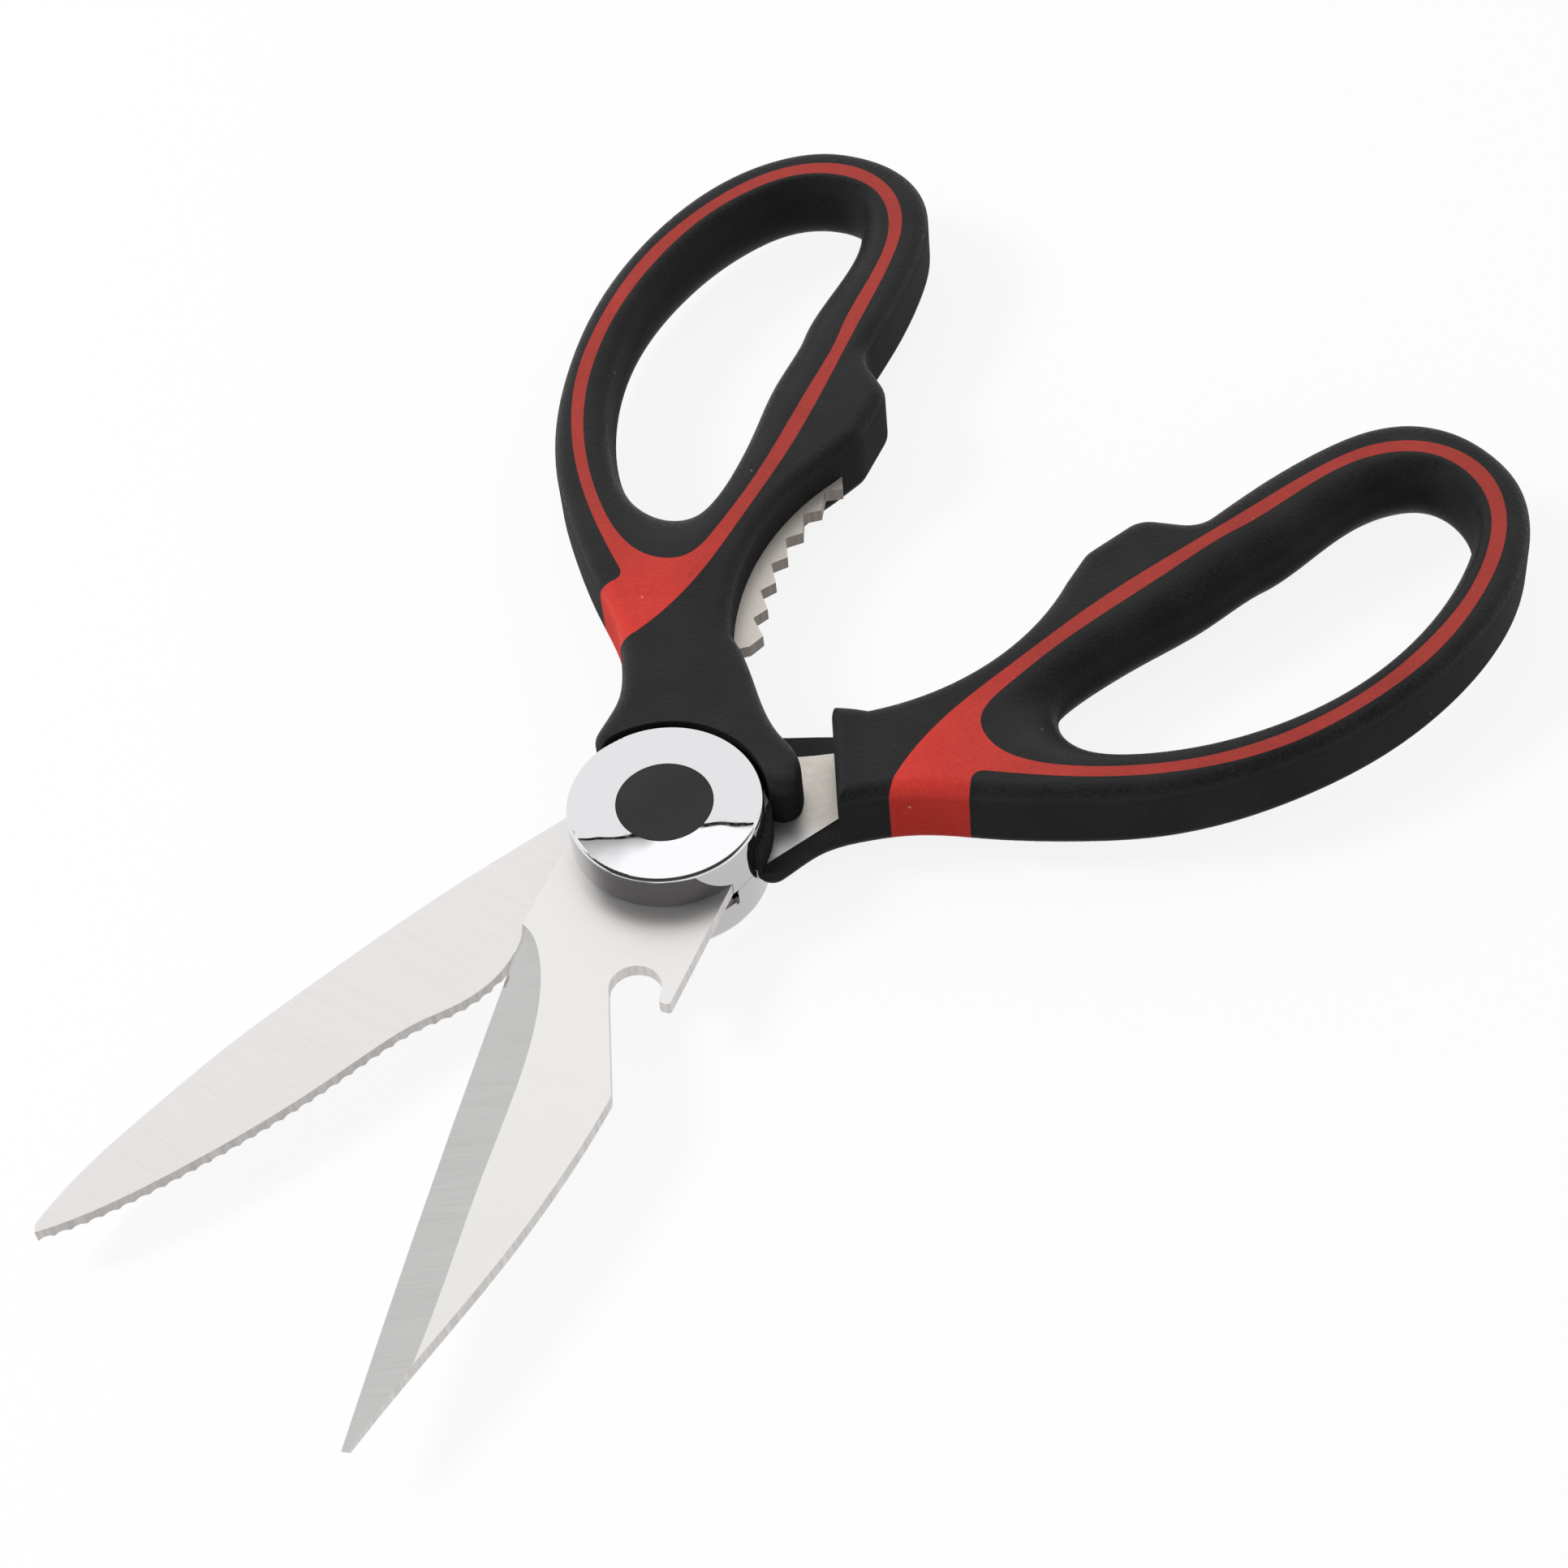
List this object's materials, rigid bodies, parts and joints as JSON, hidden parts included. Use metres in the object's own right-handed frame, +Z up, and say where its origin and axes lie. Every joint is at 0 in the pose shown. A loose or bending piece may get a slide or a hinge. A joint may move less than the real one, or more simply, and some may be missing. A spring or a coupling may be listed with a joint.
{
  "type": "kitchen shears",
  "caption": "Kitchen shears with soft-lined loop handles, a nutcracker between them, a bottle-opener notch in one blade and fine serrations on the other.",
  "frame": {"origin": "on the pivot axis, on the resting face of the lower cap", "axes": "+Z up along the pivot axis; +Y towards the handles, midway between the two halves; +X to the side of the lower handle"},
  "size_m": [0.1352, 0.1975, 0.0144],
  "materials": {
    "blade_steel": "fine ground stainless steel",
    "red_core": "satin rigid plastic",
    "grip_rubber": "soft matt elastomer",
    "cap_chrome": "polished chrome",
    "disc_plastic": "matt plastic",
    "pivot_steel": "plain turned steel"
  },
  "bodies": {
    "lower_half": {"lower_blade": "blade_steel", "lower_handle_core": "red_core", "lower_inner_grip": "grip_rubber", "lower_outer_grip": "grip_rubber", "lower_cap": "cap_chrome", "lower_cap_disc": "disc_plastic", "pivot_nut": "pivot_steel", "pivot_screw": "pivot_steel", "spring_washer": "pivot_steel"},
    "upper_half": {"upper_blade": "blade_steel", "upper_handle_core": "red_core", "upper_inner_grip": "grip_rubber", "upper_outer_grip": "grip_rubber", "upper_cap": "cap_chrome", "upper_cap_disc": "disc_plastic"}
  },
  "joints": [
    {"name": "pivot", "type": "hinge", "parent": "lower_half", "child": "upper_half", "pos_m": [0, 0, 0.0072], "axis": [0, 0, 1], "range_deg": [-31.2, 75]}
  ]
}
